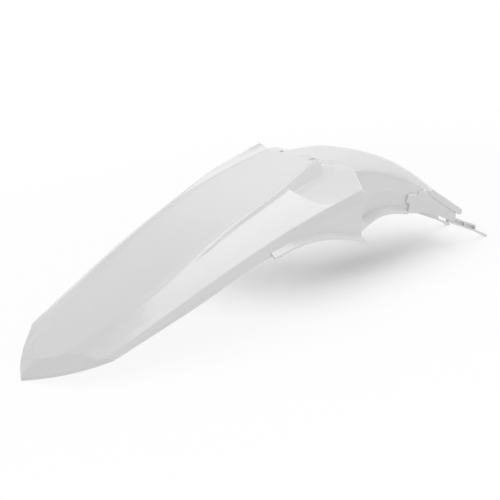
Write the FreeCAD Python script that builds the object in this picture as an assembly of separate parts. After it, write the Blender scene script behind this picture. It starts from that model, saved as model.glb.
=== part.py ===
import FreeCAD, Part
import math
import os

V = FreeCAD.Vector
os.makedirs("parts", exist_ok=True)

# Moulded wall
WALL = 2.8

# Lengths along the fender, from the tail tip forward
TAIL_RUN = 343.0
FIN_RUN = 60.0
SHOULDER_RUN = 57.0
NECK_RUN = 230.0
TONGUE_RUN = 70.0

# Spine of the tail panel: a straight climb, then a long arc
SPINE_TIP_Z = 13.4
TAIL_ANGLE = 24.2
SPINE_STRAIGHT = 175.0
SPINE_RADIUS = 1600.0

# Half-widths of the outer edge
TAIL_HALF = 60.0
MID_HALF = 84.0
POCKET_HALF = 99.6
SHOULDER_HALF = 104.5

# Drop of the outer edge below the spine
TAIL_EDGE_DROP = 8.6
MID_EDGE_DROP = 13.8
POCKET_EDGE_DROP = 20.8
SHOULDER_EDGE_DROP = 26.0

# Ridges between the panel and the bevels: a fold at the tail, then a growing step up to the two fins
TAIL_RIDGE_HALF = 34.0
MID_RIDGE_HALF = 60.4
LONG_RIDGE_HALF = 60.2
POCKET_RIDGE_HALF = 62.4
FIN_HALF = 50.7
TAIL_RIDGE_RISE = -6.5
MID_RIDGE_RISE = 3.0
LONG_RIDGE_RISE = 3.0
POCKET_RIDGE_RISE = 4.6
FIN_RISE = 12.8
STEP_IN = 3.0
LONG_STEP = 5.8
POCKET_STEP = 6.35
TROUGH_SLOPE_WIDTH = 10.0

# Rise of the panel above the spine arc
MID_LIFT = 3.6
LONG_LIFT = 7.5
POCKET_LIFT = 5.0
FIN_LIFT = 4.0

# Crown of the bevels
TAIL_CROWN = 0.8
POCKET_CROWN = 3.0

# Lower edge of the skirts, with the wheel arch towards the front
HEM_MID_Z = 63.0
HEM_REAR_ARCH_Z = 101.0
HEM_ARCH_Z = 109.0
HEM_FRONT_Z = 86.0
SKIRT_FLARE = 3.0
ARCH_FLARE = -0.5
SKIRT_HOLLOW = 2.2

# V-shaped tail end with its turned-down lip
TIP_OVERHANG = 4.5
V_DEPTH = 60.0
V_HALF = 68.0
V_BULGE = 5.5
LIP_APEX = 14.2
LIP_SWEEP = 0.785
LIP_OUTER_SWEEP = 0.6
LIP_HEM = 6.0
LIP_CORNER_HEM = 30.0

# Side-panel pockets
POCKET_CORNER_LONG = 32.0
POCKET_CREASE_HALF = 60.0
POCKET_CREASE_DROP = 12.5
SHOULDER_SWEEP = 32.0

# Ledge in front of the fins
LEDGE_DROP = 10.9
LEDGE_SET = 8.5
LEDGE_SLOPE = 0.22

# Neck under the seat
NECK_REAR_HALF = 50.0
NECK_MID_HALF = 43.0
NECK_FRONT_HALF = 36.5
NECK_REAR_RISE = 25.0
NECK_MID_RISE = 21.5
NECK_FRONT_RISE = 22.0
CROWN_Z = 182.2
CROWN_AHEAD = 32.0
NECK_BACK_Z = 166.8
NECK_MID_Z = 127.0
NECK_FRONT_Z = 69.0
NECK_HEM_REAR_Z = 64.0
NECK_HEM_Z = 86.0
NECK_HEM_MID_Z = 77.5
NECK_HEM_PAD_Z = 70.4
NECK_HEM_AHEAD_Z = 64.0
NECK_HEM_FRONT_Z = 36.3
NECK_TUCK = 0.2

# Flanges along the wheel arch and along the foot of the neck
ARCH_FLANGE = 6.6
ARCH_FLANGE_FALL = 6.0
NECK_FLANGE = 10.0
NECK_FLANGE_FALL = 9.0
FLANGE_WALL = 2.8
ARCH_FLANGE_BACK = 58.0
ARCH_FLANGE_AHEAD = 29.0
NECK_FLANGE_RUN = 122.0

# Front brackets with their fingers, tongues and blades
PAD_PROUD = 3.0
FINGER_RADIUS = 4.2
FINGER_WIDTH = 9.0
TONGUE_HALF = 37.0
TONGUE_WIDTH = 6.0
TONGUE_RECESS = 3.0
TONGUE_RIM = 2.4
BLADE_WALL = 2.4

# Bolt seats under the seat
BOLT_AHEAD = 19.0
BOLT_HALF = 30.0
BOLT_HOLE_RADIUS = 3.25
BOLT_SEAT_RADIUS = 7.5
BOLT_SEAT_LIFT = 1.5

# Locating tabs on the shoulder front
TAB_LENGTH = 10.0
TAB_TOP_Z = 150.5
TAB_LOW_Z = 131.0

X_POCKET = TAIL_RUN
X_FIN = X_POCKET + FIN_RUN
X_SHOULDER = X_FIN + SHOULDER_RUN
X_NECK = X_SHOULDER + NECK_RUN
X_TIP = X_NECK + TONGUE_RUN


def guide(*knots):
    """Smooth curve through (x, value) knots, straight beyond both ends."""
    xs = [k[0] for k in knots]
    vs = [k[1] for k in knots]
    n = len(xs)
    chord = [(vs[i + 1] - vs[i]) / (xs[i + 1] - xs[i]) for i in range(n - 1)]
    tangent = [chord[0]]
    for i in range(1, n - 1):
        h0 = xs[i] - xs[i - 1]
        h1 = xs[i + 1] - xs[i]
        tangent.append((chord[i - 1] * h1 + chord[i] * h0) / (h0 + h1))
    tangent.append(chord[-1])

    def value(x):
        if x <= xs[0]:
            return vs[0] + tangent[0] * (x - xs[0])
        if x >= xs[-1]:
            return vs[-1] + tangent[-1] * (x - xs[-1])
        i = max(j for j in range(n - 1) if xs[j] <= x)
        h = xs[i + 1] - xs[i]
        t = (x - xs[i]) / h
        a = (1 + 2 * t) * (1 - t) ** 2 * vs[i] + t * (1 - t) ** 2 * h * tangent[i]
        b = t * t * (3 - 2 * t) * vs[i + 1] + t * t * (t - 1) * h * tangent[i + 1]
        return a + b

    return value


def spine(x):
    """Height of the flat panel on the centre line."""
    rise = math.radians(TAIL_ANGLE)
    if x <= SPINE_STRAIGHT:
        return SPINE_TIP_Z + x * math.tan(rise)
    base = SPINE_TIP_Z + SPINE_STRAIGHT * math.tan(rise)
    sine = math.sin(rise) - (x - SPINE_STRAIGHT) / SPINE_RADIUS
    return base + SPINE_RADIUS * (math.cos(math.asin(sine)) - math.cos(rise))


edge_half = guide((0, TAIL_HALF), (TAIL_RUN / 2, MID_HALF), (X_POCKET, POCKET_HALF),
                  (X_FIN + 20, SHOULDER_HALF))
edge_drop = guide((0, TAIL_EDGE_DROP), (TAIL_RUN / 2, MID_EDGE_DROP), (X_POCKET, POCKET_EDGE_DROP),
                  (X_FIN + 20, SHOULDER_EDGE_DROP))
ridge_half = guide((0, TAIL_RIDGE_HALF), (TAIL_RUN / 2, MID_RIDGE_HALF),
                   (0.75 * TAIL_RUN, LONG_RIDGE_HALF), (X_POCKET, POCKET_RIDGE_HALF),
                   (X_FIN, FIN_HALF + STEP_IN), (X_FIN + 90, FIN_HALF + STEP_IN - 8))
ridge_rise = guide((0, TAIL_RIDGE_RISE), (TAIL_RUN / 2, MID_RIDGE_RISE), (0.75 * TAIL_RUN, LONG_RIDGE_RISE),
                   (X_POCKET, POCKET_RIDGE_RISE), (X_FIN, FIN_RISE - POCKET_STEP),
                   (X_FIN + 90, FIN_RISE - POCKET_STEP))
step_up = guide((0, 1.6), (TAIL_RUN / 2, 1.4), (0.75 * TAIL_RUN, LONG_STEP), (X_POCKET, POCKET_STEP),
                (X_FIN + 90, POCKET_STEP))
panel_lift = guide((0, 0), (0.18 * TAIL_RUN, 0), (TAIL_RUN / 2, MID_LIFT), (0.75 * TAIL_RUN, LONG_LIFT),
                   (X_POCKET, POCKET_LIFT), (X_FIN, FIN_LIFT), (X_FIN + 90, FIN_LIFT))
bevel_crown = guide((0, TAIL_CROWN), (TAIL_RUN / 2, 0.5 * POCKET_CROWN),
                    (0.75 * TAIL_RUN, 0.9 * POCKET_CROWN), (X_POCKET, POCKET_CROWN),
                    (X_FIN + 90, POCKET_CROWN))
hem_z = guide((-TIP_OVERHANG, 0), (TAIL_RUN / 2, HEM_MID_Z), (0.83 * TAIL_RUN, HEM_REAR_ARCH_Z),
              (X_POCKET, HEM_ARCH_Z), (X_POCKET + 45, HEM_ARCH_Z - 6), (X_FIN + 34, HEM_FRONT_Z))
flare = guide((0, SKIRT_FLARE), (0.7 * TAIL_RUN, SKIRT_FLARE), (X_POCKET, ARCH_FLARE),
              (X_FIN + 90, ARCH_FLARE))
hollow = guide((0, 0), (0.83 * TAIL_RUN, 0), (X_FIN - 20, SKIRT_HOLLOW),
               (X_FIN + 90, SKIRT_HOLLOW))
fold_place = guide((0, 0.5), (0.8 * TAIL_RUN, 0.6), (X_POCKET, 0.6), (X_FIN, 0.32), (X_FIN + 90, 0.32))
crest_soft = guide((0, 9.0), (0.3 * TAIL_RUN, 6.0), (0.75 * TAIL_RUN, 3.0), (X_POCKET, 1.0),
                   (X_FIN + 90, 0.8))


def edge_z(x):
    return spine(x) - edge_drop(x)


def ridge_z(x):
    return spine(x) + ridge_rise(x)


def crest(x):
    """Half-width and height of the top of the step."""
    return ridge_half(x) - STEP_IN, ridge_z(x) + step_up(x)


def offset(points, by):
    """Polyline moved to its right-hand side by a distance, with mitred corners."""
    moved = []
    for i, p in enumerate(points):
        normals = []
        for a, b in ((i - 1, i), (i, i + 1)):
            if a >= 0 and b < len(points):
                dy = points[b][0] - points[a][0]
                dz = points[b][1] - points[a][1]
                length = math.hypot(dy, dz)
                normals.append((dz / length, -dy / length))
        n0 = normals[0]
        n1 = normals[-1]
        scale = by / (1 + n0[0] * n1[0] + n0[1] * n1[1])
        moved.append((p[0] + (n0[0] + n1[0]) * scale, p[1] + (n0[1] + n1[1]) * scale))
    return moved


def section(x, points, setbacks):
    """Closed wire at one x: corners blended over their setbacks, closed by a straight line."""
    pts = [V(x, p[0], p[1]) for p in points]
    legs = [pts[i].distanceToPoint(pts[i + 1]) for i in range(len(pts) - 1)]
    edges = []
    start = pts[0]
    for i in range(1, len(pts) - 1):
        reach = min(setbacks[i], 0.45 * legs[i - 1], 0.45 * legs[i])
        back = (pts[i - 1] - pts[i]).normalize() * reach
        ahead = (pts[i + 1] - pts[i]).normalize() * reach
        edges.append(Part.LineSegment(start, pts[i] + back).toShape())
        if reach > 0:
            blend = Part.BezierCurve()
            blend.setPoles([pts[i] + back, pts[i], pts[i] + ahead])
            edges.append(blend.toShape())
        start = pts[i] + ahead
    edges.append(Part.LineSegment(start, pts[-1]).toShape())
    edges.append(Part.LineSegment(pts[-1], pts[0]).toShape())
    return Part.Wire(edges)


def mirror_points(half):
    """Left-to-right profile from a right-hand half listed from the lower edge up."""
    left = [(-y, z) for y, z in half]
    return left + [(y, z) for y, z in reversed(half)]


def prism(points, direction):
    """Solid from a closed polygon and an extrusion vector."""
    return Part.Face(Part.makePolygon(points + [points[0]])).extrude(direction)


def both(shape):
    """Shape together with its mirror image across the centre plane."""
    return shape.fuse(shape.mirror(V(0, 0, 0), V(0, 1, 0)))


def body_half(x):
    """Half profile of the tail and shoulder: hem, fold, outer edge, bevel, step, panel."""
    eh = edge_half(x)
    ez = edge_z(x)
    hz = hem_z(x)
    f = fold_place(x)
    fold = (eh + flare(x) * f - hollow(x), ez + (hz - ez) * f)
    ridge = (ridge_half(x), ridge_z(x))
    crown = ((eh + ridge[0]) / 2, (ez + ridge[1]) / 2 + bevel_crown(x))
    panel = (ridge[0] - TROUGH_SLOPE_WIDTH, spine(x) + panel_lift(x))
    return [(eh + flare(x), hz), fold, (eh, ez), crown, ridge, crest(x), panel]


def body(x, inner):
    half = body_half(x)
    if inner:
        full = offset(mirror_points(half), WALL)
        low = (half[0][0] + (half[0][0] - half[1][0]) - WALL, half[0][1] - 14)
        full[0] = (-low[0], low[1])
        full[-1] = low
        return section(x, full, [0] * 14)
    sets = [0, 0, 0, 12.0, 0.8, crest_soft(x), 7.0]
    return section(x, mirror_points(half), sets + sets[::-1])


BODY_X = [-0.04, 0.09, 0.22, 0.36, 0.5, 0.63, 0.76, 0.88, 0.97]
BODY_X = [x * TAIL_RUN for x in BODY_X]
BODY_X += [X_POCKET + 12, X_POCKET + 36, X_FIN, X_FIN + 30, X_SHOULDER + 18]
outer_body = Part.makeLoft([body(x, False) for x in BODY_X], True)
inner_body = Part.makeLoft([body(x, True) for x in BODY_X], True)

# V-shaped tail end: an upright bulged hem below the sloping lip
v_tip = V(-TIP_OVERHANG, 0, 0)
v_side = V(V_DEPTH, V_HALF, 0) - v_tip
v_out = V(-v_side.y, v_side.x, 0).normalize()

def lip_line(y):
    """Upper and lower point of the lip, as (x, z), at a distance from the centre plane."""
    t = y / V_HALF
    sag = 4 * V_BULGE / v_out.x * t * (1 - t)
    turn = 0.63 * V_HALF
    upper = LIP_APEX + LIP_SWEEP * min(y, turn) + LIP_OUTER_SWEEP * max(y - turn, 0)
    lower = min(-TIP_OVERHANG + (V_DEPTH + TIP_OVERHANG) * t + sag, upper - 3)
    hem = LIP_HEM + (LIP_CORNER_HEM - LIP_HEM) * t * (0.06 + 0.94 * t)
    past = (y - ridge_half(upper)) / TROUGH_SLOPE_WIDTH + 1
    top = spine(upper) + ridge_rise(upper) * min(max(past, 0), 1)
    return (upper, top), (lower, hem)


def tail_tools(grow):
    """Solids to take away so that the body ends in the V, moved inward by the given amount."""
    low = V(0, 0, -60)
    inward = v_out * -grow
    tip = V(-TIP_OVERHANG + grow / v_out.x * -1, 0, 0) + low
    corner = V(V_DEPTH, V_HALF, 0) + inward + low
    middle = (v_tip + V(V_DEPTH, V_HALF, 0)) * 0.5 + v_out * (2 * V_BULGE) + inward + low
    beyond = corner + (corner - middle) * 2
    bulge = Part.BezierCurve()
    bulge.setPoles([tip, middle, corner])
    back = [beyond, V(-150, beyond.y, -60), V(-150, 0, -60), tip]
    rest = [Part.LineSegment(a, b).toShape() for a, b in zip([corner] + back, back)]
    outside = Part.Face(Part.Wire([bulge.toShape()] + rest)).extrude(V(0, 0, 200))
    wires = []
    for k in (-0.03, 0.25, 0.5, 0.63, 0.75, 0.88, 1, 1.2):
        y = k * V_HALF
        upper, lower = lip_line(y)
        dx = upper[0] - lower[0]
        dz = upper[1] - lower[1]
        length = math.hypot(dx, dz)
        shift = (grow * dz / length, -grow * dx / length)
        high = (upper[0] + dx + shift[0], upper[1] + dz + shift[1])
        deep = (lower[0] - 2 * dx + shift[0], lower[1] - 2 * dz + shift[1])
        ring = [high, deep, (-150, deep[1]), (-150, 150), (high[0], 150)]
        wires.append(Part.makePolygon([V(x, y, z) for x, z in ring + ring[:1]]))
    return [outside, Part.makeLoft(wires, True, True)]


def cut_both(shape, tool):
    """Shape with a right-hand tool and its mirror image taken away."""
    return shape.cut(tool).cut(tool.mirror(V(0, 0, 0), V(0, 1, 0)))


for tool in tail_tools(0.0):
    outer_body = cut_both(outer_body, tool)
for tool in tail_tools(WALL):
    inner_body = cut_both(inner_body, tool)

# Ledge: the fins end in a short slope, in front of which the panel runs down flat
ledge_x = X_FIN + LEDGE_SET
ledge_z = crest(X_FIN)[1] - LEDGE_DROP


def ledge_height(x):
    return ledge_z - LEDGE_SLOPE * (x - ledge_x)


def ledge_tool(grow):
    """Everything above the ledge and in front of the fin ends."""
    end = X_SHOULDER + 60
    profile = [(X_FIN - grow, 260), (X_FIN - grow, crest(X_FIN)[1] + 0.4),
               (ledge_x - grow, ledge_z - grow), (end, ledge_height(end) - grow), (end, 260)]
    return prism([V(x, -130, z) for x, z in profile], V(0, 260, 0))


outer_body = outer_body.cut(ledge_tool(0.0))
inner_body = inner_body.cut(ledge_tool(WALL))

# Shoulder front: a swept-back upright edge, open towards the neck
sweep = V(-SHOULDER_SWEEP, SHOULDER_HALF - FIN_HALF, 0)
front_in = V(X_SHOULDER, FIN_HALF + 2, -60)
front_out = front_in + sweep * 1.5
front_near = front_in - sweep * 0.7
front_tool = prism([front_near, front_out, front_out + V(160, 0, 0), front_near + V(80, 0, 0)],
                   V(0, 0, 320))
outer_body = cut_both(outer_body, front_tool)

# Side-panel pockets: a floor from the outer edge up to a crease, then the wall under the fin
crease_half = guide((X_POCKET, POCKET_RIDGE_HALF + 4), (X_FIN - 20, POCKET_CREASE_HALF + 2),
                    (X_FIN, POCKET_CREASE_HALF), (X_SHOULDER, POCKET_CREASE_HALF - 2))
crease_z = guide((X_POCKET, spine(X_POCKET) - 4),
                 (X_FIN, spine(X_FIN) - POCKET_CREASE_DROP + 1.5),
                 (X_FIN + 32, ledge_height(X_FIN + 32) - 3),
                 (X_SHOULDER, ledge_height(X_SHOULDER) - 1.5),
                 (X_SHOULDER + 30, ledge_height(X_SHOULDER + 30) - 1.5))


def pocket_section(x, top, grow):
    """Floor and inner wall at one x, the wall carried on past its top."""
    outer = (edge_half(x), edge_z(x))
    crease = (crease_half(x), crease_z(x))
    fall = (crease[1] - outer[1]) / (outer[0] - crease[0])
    far = (outer[0] + 24, outer[1] - 24 * fall)
    lean = math.hypot(top[0] - crease[0], top[1] - crease[1])
    reach = 1 + 30 / lean
    up = (crease[0] + (top[0] - crease[0]) * reach, crease[1] + (top[1] - crease[1]) * reach)
    floor = [far, crease, up]
    if grow:
        floor = offset(floor, -grow)
    return section(x, floor + [(170, up[1])], [0, 0 if grow else 5.0, 0, 0])


def fin_top(x):
    half, top = crest(x)
    return (half - 0.8, top)


def pocket(grow):
    """Space of one pocket, bounded behind by a rounded upright wall and inboard by the fin wall."""
    xs = [X_POCKET - 12, X_POCKET + 10, X_POCKET + 35, X_FIN, X_FIN + 28, X_SHOULDER + 26]
    space = Part.makeLoft([pocket_section(x, fin_top(x), grow) for x in xs], True)
    back = Part.BezierCurve()
    p = [V(X_POCKET - 1 - grow, 30, 100), V(X_POCKET + 1 - grow, POCKET_HALF - 8 + grow, 100),
         V(X_POCKET + POCKET_CORNER_LONG, POCKET_HALF + grow, 100),
         V(X_POCKET + POCKET_CORNER_LONG + 22, POCKET_HALF + 12 + grow, 100)]
    back.setPoles(p)
    rest = [p[3], V(X_POCKET + 60, 150, 100), V(X_SHOULDER + 80, 150, 100),
            V(X_SHOULDER + 80, 30, 100), p[0]]
    edges = [Part.LineSegment(a, b).toShape() for a, b in zip(rest, rest[1:])]
    plan = Part.Face(Part.Wire([back.toShape()] + edges)).extrude(V(0, 0, 200))
    return space.common(plan)


def ledge_slope(grow):
    """Space outboard of the ledge, where its side slopes down to the pocket crease."""
    wires = []
    for x in (X_FIN + 5 - grow, X_FIN + 22, X_FIN + 40, X_SHOULDER, X_SHOULDER + 26):
        foot = (crease_half(x) - 0.6, crease_z(x) + 1.2)
        top = (FIN_HALF, ledge_height(x) + 0.2)
        up = (2 * top[0] - foot[0], 2 * top[1] - foot[1] + 4)
        line = offset([foot, up], -grow) if grow else [foot, up]
        line += [(foot[0] + 12, up[1]), (foot[0] + 12, line[0][1])]
        wires.append(section(x, line, [0, 0, 0, 0]))
    return Part.makeLoft(wires, True)


for tool in (pocket, ledge_slope):
    outer_body = cut_both(outer_body, tool(0.0))
    inner_body = cut_both(inner_body, tool(WALL))

# Neck: a round arch on upright walls that tuck in towards the foot
neck_half = guide((X_FIN, NECK_REAR_HALF), (X_SHOULDER, NECK_REAR_HALF),
                  (X_SHOULDER + 0.35 * NECK_RUN, NECK_MID_HALF),
                  (X_SHOULDER + 0.6 * NECK_RUN, NECK_FRONT_HALF + 2.2), (X_NECK, NECK_FRONT_HALF))
crown_x = X_FIN + CROWN_AHEAD
crest_z = guide((X_FIN - 12, CROWN_Z - 10.5), (X_FIN + 10, CROWN_Z - 1.6), (crown_x, CROWN_Z),
                (X_SHOULDER + 0.26 * NECK_RUN, NECK_BACK_Z), (X_SHOULDER + 0.65 * NECK_RUN, NECK_MID_Z),
                (X_NECK, NECK_FRONT_Z))
arch_rise = guide((X_FIN, NECK_REAR_RISE), (X_SHOULDER + 0.3 * NECK_RUN, NECK_MID_RISE),
                  (X_NECK, NECK_FRONT_RISE))
neck_hem = guide((X_SHOULDER, NECK_HEM_REAR_Z), (X_SHOULDER + 0.29 * NECK_RUN, NECK_HEM_Z),
                 (X_SHOULDER + 0.51 * NECK_RUN, NECK_HEM_MID_Z),
                 (X_SHOULDER + 0.6 * NECK_RUN, NECK_HEM_PAD_Z),
                 (X_SHOULDER + 0.74 * NECK_RUN, NECK_HEM_AHEAD_Z), (X_NECK, NECK_HEM_FRONT_Z))


def neck_fold(x):
    return neck_hem(x) + 0.56 * (crest_z(x) - arch_rise(x) - neck_hem(x))


def neck_foot(x):
    return neck_half(x) - NECK_TUCK * (neck_fold(x) - neck_hem(x))


def neck(x, grow, low):
    """Section of the neck, its faces moved out by one amount and its foot lowered by another."""
    w = neck_half(x) + grow
    top = crest_z(x) + grow
    spring = top - arch_rise(x) - 0.4 * grow
    foot = neck_hem(x) - low
    fold = neck_fold(x)
    tuck = w - NECK_TUCK * (fold - foot)
    right = [V(x, w, spring), V(x, w, fold), V(x, tuck, foot)]
    left = [V(x, -v.y, v.z) for v in reversed(right)]
    line = left + right
    edges = [Part.LineSegment(line[i], line[i + 1]).toShape() for i in (0, 1, 3, 4)]
    rise = top - spring
    pull = w * (1 - (1 - (rise / w) ** 2) * 2 / 3)
    arch = Part.BezierCurve()
    arch.setPoles([line[2], V(x, -pull, top + rise / 3), V(x, pull, top + rise / 3), line[3]])
    close = Part.LineSegment(line[5], line[0]).toShape()
    return Part.Wire(edges[:2] + [arch.toShape()] + edges[2:] + [close])


NECK_X = [X_FIN - 24, X_FIN - 4, X_FIN + 14, crown_x, X_SHOULDER + 10]
NECK_X += [X_SHOULDER + k * NECK_RUN for k in (0.22, 0.42, 0.62, 0.75, 0.86, 0.94, 1.0)]
neck_outer = Part.makeLoft([neck(x, 0.0, 0.0) for x in NECK_X], True)
hollow_x = [X_FIN - 38] + NECK_X[1:-1] + [X_NECK + 2]
neck_inner = Part.makeLoft([neck(x, -WALL, 16.0) for x in hollow_x], True)
neck_back = X_FIN + 36
neck_low = X_SHOULDER + 26
behind = [(X_FIN - 60, -60), (neck_low + 10, -60), (neck_low, NECK_HEM_REAR_Z),
          (neck_back, 160), (X_FIN - 60, 160)]
below = prism([V(x, -90, z) for x, z in behind], V(0, 180, 0))
arch_part = neck_outer.cut(below)
kept_walls = Part.makeBox(400, 200, 260, V(neck_back, -100, -60)).common(arch_part)

# Bolt seats: flat round bosses sunk into the foot of the arch
bolt_x = X_FIN + BOLT_AHEAD
bolt_z = ledge_height(bolt_x) + BOLT_SEAT_LIFT


def bolt_seat(grow):
    return Part.makeCylinder(BOLT_SEAT_RADIUS + grow, 60, V(bolt_x, BOLT_HALF, bolt_z - grow))


outer_body = cut_both(outer_body.fuse(arch_part), bolt_seat(0.0))
inner_body = cut_both(inner_body.cut(kept_walls).fuse(neck_inner), bolt_seat(WALL))
shell = outer_body.cut(inner_body)
boss = Part.makeCylinder(BOLT_SEAT_RADIUS, 2 * WALL, V(bolt_x, BOLT_HALF, bolt_z - 2 * WALL))


def flange(xs, line, width, fall):
    """Sloping strip along a lower edge: line(x) gives the half-width and height of its root."""
    wires = []
    for x in xs:
        y, z = line(x)
        quad = [(y - 1.4, z + fall), (y + width, z + FLANGE_WALL - 1.8), (y + width, z - 1.8),
                (y - 1.4, z + fall - FLANGE_WALL - 0.6)]
        wires.append(Part.makePolygon([V(x, a, b) for a, b in quad + quad[:1]]))
    return Part.makeLoft(wires, True)


def spread(start, end, count):
    return [start + (end - start) * i / (count - 1) for i in range(count)]


def arch_line(x):
    return edge_half(x) + flare(x), hem_z(x)


def neck_line(x):
    return neck_foot(x), neck_hem(x)


arch_flange = flange(spread(X_POCKET - ARCH_FLANGE_BACK, X_FIN + ARCH_FLANGE_AHEAD, 6), arch_line,
                     ARCH_FLANGE, ARCH_FLANGE_FALL)
neck_flange = flange(spread(neck_low, X_SHOULDER + NECK_FLANGE_RUN, 5), neck_line,
                     NECK_FLANGE, NECK_FLANGE_FALL)


def side_plate(profile, y0, y1):
    """Plate from (distance ahead of the neck front, height) points between two half-widths."""
    return prism([V(X_NECK + x, y0, z) for x, z in profile], V(0, y1 - y0, 0))


# Bracket pads stand proud of the neck walls
pad_profile = [(-106, 100), (-95, 99.5), (-84, 94), (-80, 98.5), (-66, 98.7), (-57, 92.3),
               (-5, 57.9), (-5, 47.3), (-6, 36.0), (-60, 63.0), (-82, 67.0), (-99, 69.0), (-100, 86),
               (-106, 88)]
neck_proud = Part.makeLoft([neck(x, PAD_PROUD, 0.0) for x in NECK_X[5:]], True)
pad = side_plate(pad_profile, 20, 60).common(neck_proud).cut(neck_inner)

# Fingers: rounded bars along the top of the pads
finger_from = V(X_NECK - 57, 0, 92.3)
finger_to = V(X_NECK + 3, 0, 52.6)
finger_way = finger_to - finger_from
finger_up = V(-finger_way.z, 0, finger_way.x).normalize() * FINGER_RADIUS
finger_end = finger_way.normalize() * FINGER_RADIUS
ring = [Part.LineSegment(finger_from + finger_up, finger_to + finger_up).toShape(),
        Part.Arc(finger_to + finger_up, finger_to + finger_end, finger_to - finger_up).toShape(),
        Part.LineSegment(finger_to - finger_up, finger_from - finger_up).toShape(),
        Part.Arc(finger_from - finger_up, finger_from - finger_end, finger_from + finger_up).toShape()]
finger = Part.Face(Part.Wire(ring)).extrude(V(0, FINGER_WIDTH, 0))
finger.translate(V(0, NECK_FRONT_HALF + PAD_PROUD + 2 - FINGER_WIDTH, 0))

# Tongues: channels open to the side, with a cross rib, ending in thin blades
tongue_profile = [(-14, 49.5), (44.4, 22.8), (44.4, 12.8), (-14, 39.4)]
tongue = side_plate(tongue_profile, TONGUE_HALF - TONGUE_WIDTH, TONGUE_HALF)
fall = (22.8 - 49.5) / 58.4


def tongue_window(x0, x1):
    rim = TONGUE_RIM * math.hypot(1, fall)
    top = [(x, 49.5 + (x + 14) * fall - rim) for x in (x0, x1)]
    low = [(x, 39.4 + (x + 14) * fall + rim) for x in (x1, x0)]
    return side_plate(top + low, TONGUE_HALF - TONGUE_RECESS, TONGUE_HALF + 5)


tongue = tongue.cut(tongue_window(-2, 19)).cut(tongue_window(21.4, 42))
blade_profile = [(38, 18.7), (44.4, 15.8), (TONGUE_RUN, BLADE_WALL), (TONGUE_RUN, 0),
                 (TONGUE_RUN - 3, 0), (44.4, 12.8), (38, 15.7)]
blade = side_plate(blade_profile, TONGUE_HALF - TONGUE_WIDTH, TONGUE_HALF)

# Locating tabs on the shoulder fronts
tab_x = X_SHOULDER - SHOULDER_SWEEP
tab_half = SHOULDER_HALF - 8.5
tab_end = tab_x + TAB_LENGTH + 2
tab_profile = [(tab_x - 12, TAB_TOP_Z), (tab_end, TAB_TOP_Z - 1.5), (tab_end, TAB_LOW_Z + 5),
               (tab_x + 8, TAB_LOW_Z), (tab_x - 12, TAB_LOW_Z)]
tab = prism([V(x, tab_half, z) for x, z in tab_profile], V(0, 4.0, 0))

for piece in (boss, arch_flange, neck_flange, pad, finger, tongue, blade, tab):
    if not piece.isValid():
        raise ValueError("a piece of the fender is not valid")
    shell = shell.fuse(both(piece))
hole = Part.makeCylinder(BOLT_HOLE_RADIUS, 80, V(bolt_x, BOLT_HALF, bolt_z - 40))
shell = cut_both(shell, hole)
shell = shell.removeSplitter()
box = shell.optimalBoundingBox()
shell.translate(V(-(box.XMin + box.XMax) / 2, 0, -box.ZMin))
shell.exportStep("parts/rear_fender.step")
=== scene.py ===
import math

import bpy
import numpy as np
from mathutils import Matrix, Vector

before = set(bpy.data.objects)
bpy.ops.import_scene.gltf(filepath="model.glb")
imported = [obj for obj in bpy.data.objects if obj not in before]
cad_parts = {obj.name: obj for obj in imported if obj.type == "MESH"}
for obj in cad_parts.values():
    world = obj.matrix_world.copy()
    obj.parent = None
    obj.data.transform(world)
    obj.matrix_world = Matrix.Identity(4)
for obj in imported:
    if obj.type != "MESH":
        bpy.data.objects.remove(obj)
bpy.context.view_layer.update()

bl_info = {
    "name": "Moulded Rear Fender",
    "version": (1, 0, 0),
    "blender": (4, 5, 0),
    "location": "3D View > Sidebar > Rear Fender",
    "description": "Finishes the moulded rear fender and sets it on a pale studio floor",
    "category": "Object",
}

SHELL = "rear_fender"

# Plastic: each noise's scale per metre and detail, the noises' mean, and how far each one moves the
# colour, the roughness and the normal.
CLOUD_NOISE = (14.0, 3.0)
FLOW_NOISE = (60.0, 4.0)
GRAIN_NOISE = (900.0, 2.0)
SWAY_NOISE = (9.0, 0.5)
NOISE_MEAN = 0.5
CLOUD_SPAN = 0.012
FLOW_ROUGHNESS = 0.14
GRAIN_ROUGHNESS = 0.05
GRAIN_HEIGHT = 0.5
PEEL_STRENGTH = 0.35
PLASTIC_IOR = 1.49
COAT_WEIGHT = 0.7
COAT_ROUGHNESS = 0.08
COAT_IOR = 1.5

# Edges: rays per point, the length of the rays that find the outer edges in edge radii, and the
# gain of the painted highlight that pales those edges.
EDGE_SAMPLES = 8
HIGHLIGHT_RAY_REACH = 0.7
HIGHLIGHT_GAIN = 2.6

# Fold along the neck, in metres: a parabola in x that starts at the shoulder. Each pair is the
# place where its fade is nought and the place where it is full.
FOLD_START = 0.1
FOLD_HEIGHT = 0.1545
FOLD_FALL = 0.157
FOLD_BEND = 1.653
FOLD_WIDTH = (0.017, 0.009)
FOLD_REAR = (0.092, 0.112)
FOLD_FRONT = (0.216, 0.200)

# Floor, in metres: the square, and the ellipse of the shadow under the neck. The two fades are
# counted in radii of the ellipse.
FLOOR_REACH = 7.0
FLOOR_POINTS = 5
SHADOW_CENTRE = (0.175, 0.06)
SHADOW_RADII = (0.25, 0.165)
SHADOW_FADE = (0.15, 1.25)
WHITE_FADE = (1.25, 4.0)

# Room: sine of the elevation where the walls begin and end their turn into the ceiling.
WALL_TOP = (0.655, 0.69)

# Soft boxes: size, place and the point that each one faces, in metres.
TOP_BOX = ((0.8, 0.9), (-0.02, -0.08, 1.0), (-0.02, -0.08, 0.0))
SIDE_BOX = ((1.1, 0.14), (0.45, -1.1, 0.85), (0.0, 0.0, 0.1))

# Camera: place in metres, its turn from +y towards +x and its downward tilt in degrees.
CAMERA_PLACE = (-1.25595, -1.3207, 0.7111)
CAMERA_TURN = 42.7
CAMERA_TILT = 19.6
SENSOR_WIDTH = 36.0


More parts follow.
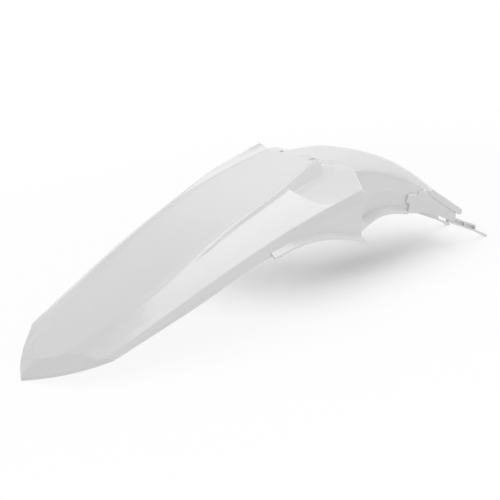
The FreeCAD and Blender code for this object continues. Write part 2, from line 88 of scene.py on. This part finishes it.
class Socket:
    """A shader output for plain arithmetic; each operation adds one Math node."""

    def __init__(self, tree, output):
        self.tree = tree
        self.output = output

    def _math(self, operation, first, second):
        return self.tree.node("ShaderNodeMath", {"operation": operation}, {0: first, 1: second})

    def __add__(self, other):
        return self._math("ADD", self, other)

    def __radd__(self, other):
        return self._math("ADD", other, self)

    def __sub__(self, other):
        return self._math("SUBTRACT", self, other)

    def __rsub__(self, other):
        return self._math("SUBTRACT", other, self)

    def __mul__(self, other):
        return self._math("MULTIPLY", self, other)

    def __rmul__(self, other):
        return self._math("MULTIPLY", other, self)

    def __truediv__(self, other):
        return self._math("DIVIDE", self, other)

    def __rtruediv__(self, other):
        return self._math("DIVIDE", other, self)

    def root(self):
        return self._math("POWER", self, 0.5)

    def least(self, other):
        return self._math("MINIMUM", self, other)


class Shader:
    """A material's or the world's node tree, filled through one node-making method."""

    def __init__(self, owner):
        owner.use_nodes = True
        self.nodes = owner.node_tree.nodes
        self.links = owner.node_tree.links
        self.nodes.clear()

    def node(self, kind, settings=None, inputs=None, out=0):
        """Adds a node: its settings first, then the values or links of its sockets."""
        made = self.nodes.new(kind)
        for name, value in (settings or {}).items():
            setattr(made, name, value)
        for name, value in (inputs or {}).items():
            if isinstance(value, Socket):
                self.links.new(value.output, made.inputs[name])
            else:
                made.inputs[name].default_value = value
        return Socket(self, made.outputs[out]) if made.outputs else made

    def axis(self, place, name):
        """One coordinate of a place."""
        return self.node("ShaderNodeSeparateXYZ", inputs={0: place}, out=name)

    def noise(self, place, scale, detail):
        """Smooth noise between 0 and 1, with its scale in waves per metre."""
        return self.node("ShaderNodeTexNoise", inputs={
            "Vector": place, "Scale": scale, "Detail": detail})

    def span(self, value, ends, first, last):
        """Goes smoothly from the first value at the low end to the last at the high end."""
        return self.node("ShaderNodeMapRange", {"interpolation_type": "SMOOTHSTEP"}, {
            "Value": value, "From Min": ends[0], "From Max": ends[1],
            "To Min": first, "To Max": last})

    def fade(self, value, ends):
        """Rises smoothly from 0 at the first end to 1 at the second, which may be the lower."""
        if ends[0] < ends[1]:
            return self.span(value, ends, 0.0, 1.0)
        return self.span(value, ends[::-1], 1.0, 0.0)

    def vector(self, operation, first, second):
        """Vector arithmetic; a scale takes its number as the second value."""
        slot = "Scale" if operation == "SCALE" else 1
        return self.node("ShaderNodeVectorMath", {"operation": operation}, {0: first, slot: second})

    def mix_colour(self, factor, first, second):
        """The first colour where the factor is 0, the second where it is 1.

        A Mix node has sockets for every kind of value; its colours are sockets 6, 7 and output 2.
        """
        return self.node(
            "ShaderNodeMix", {"data_type": "RGBA"}, {0: factor, 6: first, 7: second}, 2)


def grey(value):
    """Opaque grey of one lightness."""
    return (value, value, value, 1.0)


class PlasticFinish(bpy.types.PropertyGroup):
    """Look of the moulded plastic."""

    tone: bpy.props.FloatProperty(
        name="Tone", description="Lightness of the white pigment",
        default=0.74, min=0.0, max=1.0)
    # Edge tone: lightness of the painted highlight on the outer edges, standing in for the glint of
    # their rounding.
    painted_highlight_tone: bpy.props.FloatProperty(
        name="Painted edge highlight", description="Lightness of the painted highlight on the outer edges",
        default=0.95, min=0.0, max=1.0)
    roughness: bpy.props.FloatProperty(
        name="Roughness", description="Mean roughness of the semi-gloss skin",
        default=0.22, min=0.0, max=1.0)
    edge_round: bpy.props.FloatProperty(
        name="Edge rounding", description="Radius of the mould's softened edges",
        default=0.0016, min=0.0, max=0.01, unit="LENGTH")
    fold_round: bpy.props.FloatProperty(
        name="Fold rounding", description="Radius of the soft fold along the neck",
        default=0.010, min=0.0, max=0.02, unit="LENGTH")
    sway: bpy.props.FloatProperty(
        name="Sway", description="Height of the slow waviness that the cooling leaves",
        default=0.0012, min=0.0, max=0.01, unit="LENGTH")
    peel: bpy.props.FloatProperty(
        name="Orange peel", description="Height of the fine waviness in the skin",
        default=0.00004, min=0.0, max=0.001, unit="LENGTH")


class StudioSetup(bpy.types.PropertyGroup):
    """Floor, light and camera."""

    surround: bpy.props.FloatProperty(
        name="Surround", description="Strength of the white walls around the stage",
        default=0.82, min=0.0)
    ceiling: bpy.props.FloatProperty(
        name="Ceiling", description="Strength of the dim ceiling above the walls",
        default=0.44, min=0.0)
    top_power: bpy.props.FloatProperty(
        name="Top box", description="Power of the soft box overhead, in watts",
        default=4.1, min=0.0)
    side_power: bpy.props.FloatProperty(
        name="Side box", description="Power of the soft box before the near side, in watts",
        default=0.7, min=0.0)
    floor_tone: bpy.props.FloatProperty(
        name="Floor tone", description="Lightness of the pale floor",
        default=0.85, min=0.0, max=1.0)
    floor_lift: bpy.props.FloatProperty(
        name="Floor lift", description="Share of plain white seen on the floor by the tail",
        default=0.88, min=0.0, max=1.0)
    lens: bpy.props.FloatProperty(
        name="Lens", description="Focal length of the camera in millimetres",
        default=111.2, min=10.0)


def soften_neck(shader, place, edge, radius):
    """Normal with the wide rounding of the fold between the neck's arch and its side walls.

    The fold's height is a parabola in x. The wide rounding holds within about a centimetre of that
    line, from the shoulder to the front pads, and fades out smoothly around it.
    """
    x = shader.axis(place, "X")
    z = shader.axis(place, "Z")
    ahead = x - FOLD_START
    fold = FOLD_HEIGHT - ahead * FOLD_FALL - ahead * ahead * FOLD_BEND
    apart = ((z - fold) * (z - fold)).root()
    near = shader.fade(apart, FOLD_WIDTH)
    run = shader.fade(x, FOLD_REAR) * shader.fade(x, FOLD_FRONT)
    wide = shader.node("ShaderNodeBevel", {"samples": EDGE_SAMPLES}, {"Radius": radius})
    tilt = shader.vector("SUBTRACT", wide, edge)
    turned = shader.vector("ADD", edge, shader.vector("SCALE", tilt, near * run))
    return shader.node("ShaderNodeVectorMath", {"operation": "NORMALIZE"}, {0: turned})


def white_plastic(finish):
    """Semi-gloss moulded polypropylene.

    The colour is the pigment's tone with a slow cloudiness of about one percent, with a painted
    highlight that pales the outer edges in place of the glint of their rounding; those edges are
    found as the places where a short ray into the wall soon leaves it again. The roughness is its
    mean plus shares of a medium and a fine noise. The normal is the rounded edge normal, softened
    along the neck's fold, then tipped by the slow waviness of the cooled shell and by a fine orange
    peel whose height is a few hundredths of a millimetre.
    """
    material = bpy.data.materials.new("white_plastic")
    shader = Shader(material)
    place = shader.node("ShaderNodeTexCoord", out="Object")
    cloud = shader.noise(place, *CLOUD_NOISE)
    flow = shader.noise(place, *FLOW_NOISE)
    grain = shader.noise(place, *GRAIN_NOISE)
    warp = shader.noise(place, *SWAY_NOISE)
    pigment = shader.mix_colour(
        cloud, grey(finish.tone - CLOUD_SPAN), grey(finish.tone + CLOUD_SPAN))
    # Painted highlight: the colour goes towards the edge tone on outer edges, found where a short
    # ray into the wall soon leaves it, in place of the glint of their rounding.
    inside = shader.node(
        "ShaderNodeAmbientOcclusion",
        {"inside": True, "only_local": True, "samples": EDGE_SAMPLES},
        {"Distance": finish.edge_round * HIGHLIGHT_RAY_REACH}, "AO")
    painted_edge_highlight = ((1.0 - inside) * HIGHLIGHT_GAIN).least(1.0)
    colour = shader.mix_colour(painted_edge_highlight, pigment, grey(finish.painted_highlight_tone))
    rough = (finish.roughness + (flow - NOISE_MEAN) * FLOW_ROUGHNESS
             + (grain - NOISE_MEAN) * GRAIN_ROUGHNESS)
    edge = shader.node(
        "ShaderNodeBevel", {"samples": EDGE_SAMPLES}, {"Radius": finish.edge_round})
    edge = soften_neck(shader, place, edge, finish.fold_round)
    sway = shader.node("ShaderNodeBump", inputs={
        "Strength": 1.0, "Distance": finish.sway, "Height": warp, "Normal": edge})
    skin = shader.node("ShaderNodeBump", inputs={
        "Strength": PEEL_STRENGTH, "Distance": finish.peel,
        "Height": grain * GRAIN_HEIGHT + flow, "Normal": sway})
    plastic = shader.node("ShaderNodeBsdfPrincipled", inputs={
        "Base Color": colour, "Roughness": rough, "Normal": skin,
        "IOR": PLASTIC_IOR, "Specular IOR Level": 0.5,
        "Coat Weight": COAT_WEIGHT, "Coat Roughness": COAT_ROUGHNESS, "Coat IOR": COAT_IOR})
    shader.node("ShaderNodeOutputMaterial", inputs={"Surface": plastic})
    return material


def floor_paint(tone, lift):
    """Matt pale floor that keeps soft shadows.

    The camera sees a white floor, mixed with plain white by a share that grows smoothly with the
    distance from the shadow under the neck, measured on an ellipse longer than it is wide: first up
    to the lift, then more slowly up to one. Reflections see the pale tone with the same share of
    plain white, and other rays see the pale tone.
    """
    material = bpy.data.materials.new("studio_floor")
    shader = Shader(material)
    seen = shader.node("ShaderNodeLightPath", out="Is Camera Ray")
    shown = seen + shader.node("ShaderNodeLightPath", out="Is Glossy Ray")
    colour = shader.mix_colour(seen, grey(tone), grey(1.0))
    matt = shader.node("ShaderNodeBsdfDiffuse", inputs={"Color": colour, "Roughness": 0.0})
    plain = shader.node("ShaderNodeEmission", inputs={"Color": grey(1.0), "Strength": 1.0})
    place = shader.node("ShaderNodeTexCoord", out="Object")
    along = (shader.axis(place, "X") - SHADOW_CENTRE[0]) / SHADOW_RADII[0]
    across = (shader.axis(place, "Y") - SHADOW_CENTRE[1]) / SHADOW_RADII[1]
    reach = (along * along + across * across).root()
    white = (shader.fade(reach, SHADOW_FADE) * lift
             + shader.fade(reach, WHITE_FADE) * (1.0 - lift))
    paint = shader.node("ShaderNodeMixShader", inputs={0: shown * white, 1: matt, 2: plain})
    shader.node("ShaderNodeOutputMaterial", inputs={"Surface": paint})
    return material


def grid_mesh(name, points):
    """Mesh from an array of rows by columns of points, one quad between neighbours."""
    rows, columns = points.shape[:2]
    index = np.arange(rows * columns).reshape(rows, columns)
    quads = np.stack(
        [index[:-1, :-1], index[1:, :-1], index[1:, 1:], index[:-1, 1:]], axis=-1)
    mesh = bpy.data.meshes.new(name)
    mesh.from_pydata(points.reshape(-1, 3).tolist(), [], quads.reshape(-1, 4).tolist())
    mesh.update()
    return mesh


def floor_points(reach, count):
    """Flat square: x and y run evenly from minus to plus the reach, and z is zero."""
    line = np.linspace(-reach, reach, count)
    x, y = np.meshgrid(line, line)
    return np.stack([y, x, np.zeros_like(x)], axis=-1)


class REARFENDER_OT_shell(bpy.types.Operator):
    """Give the moulded shell its white semi-gloss plastic"""

    bl_idname = "rearfender.shell"
    bl_label = "Moulded shell"

    def execute(self, context):
        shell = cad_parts[SHELL]
        shell.data.materials.clear()
        shell.data.materials.append(white_plastic(context.scene.fender_finish))
        return {"FINISHED"}


class REARFENDER_OT_stage(bpy.types.Operator):
    """Set the pale floor, the soft light and the camera"""

    bl_idname = "rearfender.stage"
    bl_label = "Studio stage"

    def execute(self, context):
        studio = context.scene.fender_studio
        mesh = grid_mesh("studio_floor", floor_points(FLOOR_REACH, FLOOR_POINTS))
        floor = bpy.data.objects.new("studio_floor", mesh)
        floor.data.materials.append(floor_paint(studio.floor_tone, studio.floor_lift))
        context.scene.collection.objects.link(floor)
        self.light(context.scene, studio)
        self.camera(context.scene, studio)
        context.scene.view_settings.view_transform = "Standard"
        return {"FINISHED"}

    def light(self, scene, studio):
        """White walls under a dim ceiling, plain white to the camera, and two soft boxes."""
        world = bpy.data.worlds.new("studio")
        scene.world = world
        shader = Shader(world)
        seen = shader.node("ShaderNodeLightPath", out="Is Camera Ray")
        height = shader.axis(shader.node("ShaderNodeTexCoord", out="Generated"), "Z")
        room = shader.span(height, WALL_TOP, studio.surround, studio.ceiling)
        strength = seen + (1.0 - seen) * room
        even = shader.node("ShaderNodeBackground", inputs={
            "Color": grey(1.0), "Strength": strength})
        shader.node("ShaderNodeOutputWorld", inputs={"Surface": even})
        self.soft_box(scene, "top_box", *TOP_BOX, studio.top_power)
        self.soft_box(scene, "side_box", *SIDE_BOX, studio.side_power)

    def soft_box(self, scene, name, size, place, aim, power):
        """A rectangular lamp at one point that faces another."""
        lamp = bpy.data.lights.new(name, "AREA")
        lamp.shape = "RECTANGLE"
        lamp.size, lamp.size_y = size
        lamp.energy = power
        box = bpy.data.objects.new(name, lamp)
        box.location = place
        box.rotation_mode = "QUATERNION"
        box.rotation_quaternion = (Vector(aim) - Vector(place)).to_track_quat("-Z", "Y")
        scene.collection.objects.link(box)

    def camera(self, scene, studio):
        """Three-quarter view from behind the tail, a little above it."""
        lens = bpy.data.cameras.new("photo_camera")
        lens.lens = studio.lens
        lens.sensor_width = SENSOR_WIDTH
        camera = bpy.data.objects.new("photo_camera", lens)
        turn = math.radians(CAMERA_TURN)
        tilt = math.radians(CAMERA_TILT)
        ahead = Vector((
            math.sin(turn) * math.cos(tilt), math.cos(turn) * math.cos(tilt), -math.sin(tilt)))
        camera.location = CAMERA_PLACE
        camera.rotation_mode = "QUATERNION"
        camera.rotation_quaternion = ahead.to_track_quat("-Z", "Y")
        scene.collection.objects.link(camera)
        scene.camera = camera


class REARFENDER_PT_sidebar(bpy.types.Panel):
    """Lists the finish, the studio and the steps"""

    bl_idname = "REARFENDER_PT_sidebar"
    bl_label = "Rear Fender"
    bl_space_type = "VIEW_3D"
    bl_region_type = "UI"
    bl_category = "Rear Fender"

    def draw(self, context):
        for group in (context.scene.fender_finish, context.scene.fender_studio):
            column = self.layout.column(align=True)
            for name in group.__annotations__:
                column.prop(group, name)
        for step in (REARFENDER_OT_shell, REARFENDER_OT_stage):
            self.layout.operator(step.bl_idname)


CLASSES = (
    PlasticFinish, StudioSetup, REARFENDER_OT_shell, REARFENDER_OT_stage, REARFENDER_PT_sidebar)


def register():
    for cls in CLASSES:
        bpy.utils.register_class(cls)
    bpy.types.Scene.fender_finish = bpy.props.PointerProperty(type=PlasticFinish)
    bpy.types.Scene.fender_studio = bpy.props.PointerProperty(type=StudioSetup)


def unregister():
    del bpy.types.Scene.fender_studio
    del bpy.types.Scene.fender_finish
    for cls in reversed(CLASSES):
        bpy.utils.unregister_class(cls)


def main():
    register()
    bpy.ops.rearfender.shell()
    bpy.ops.rearfender.stage()


if __name__ == "__main__":
    main()
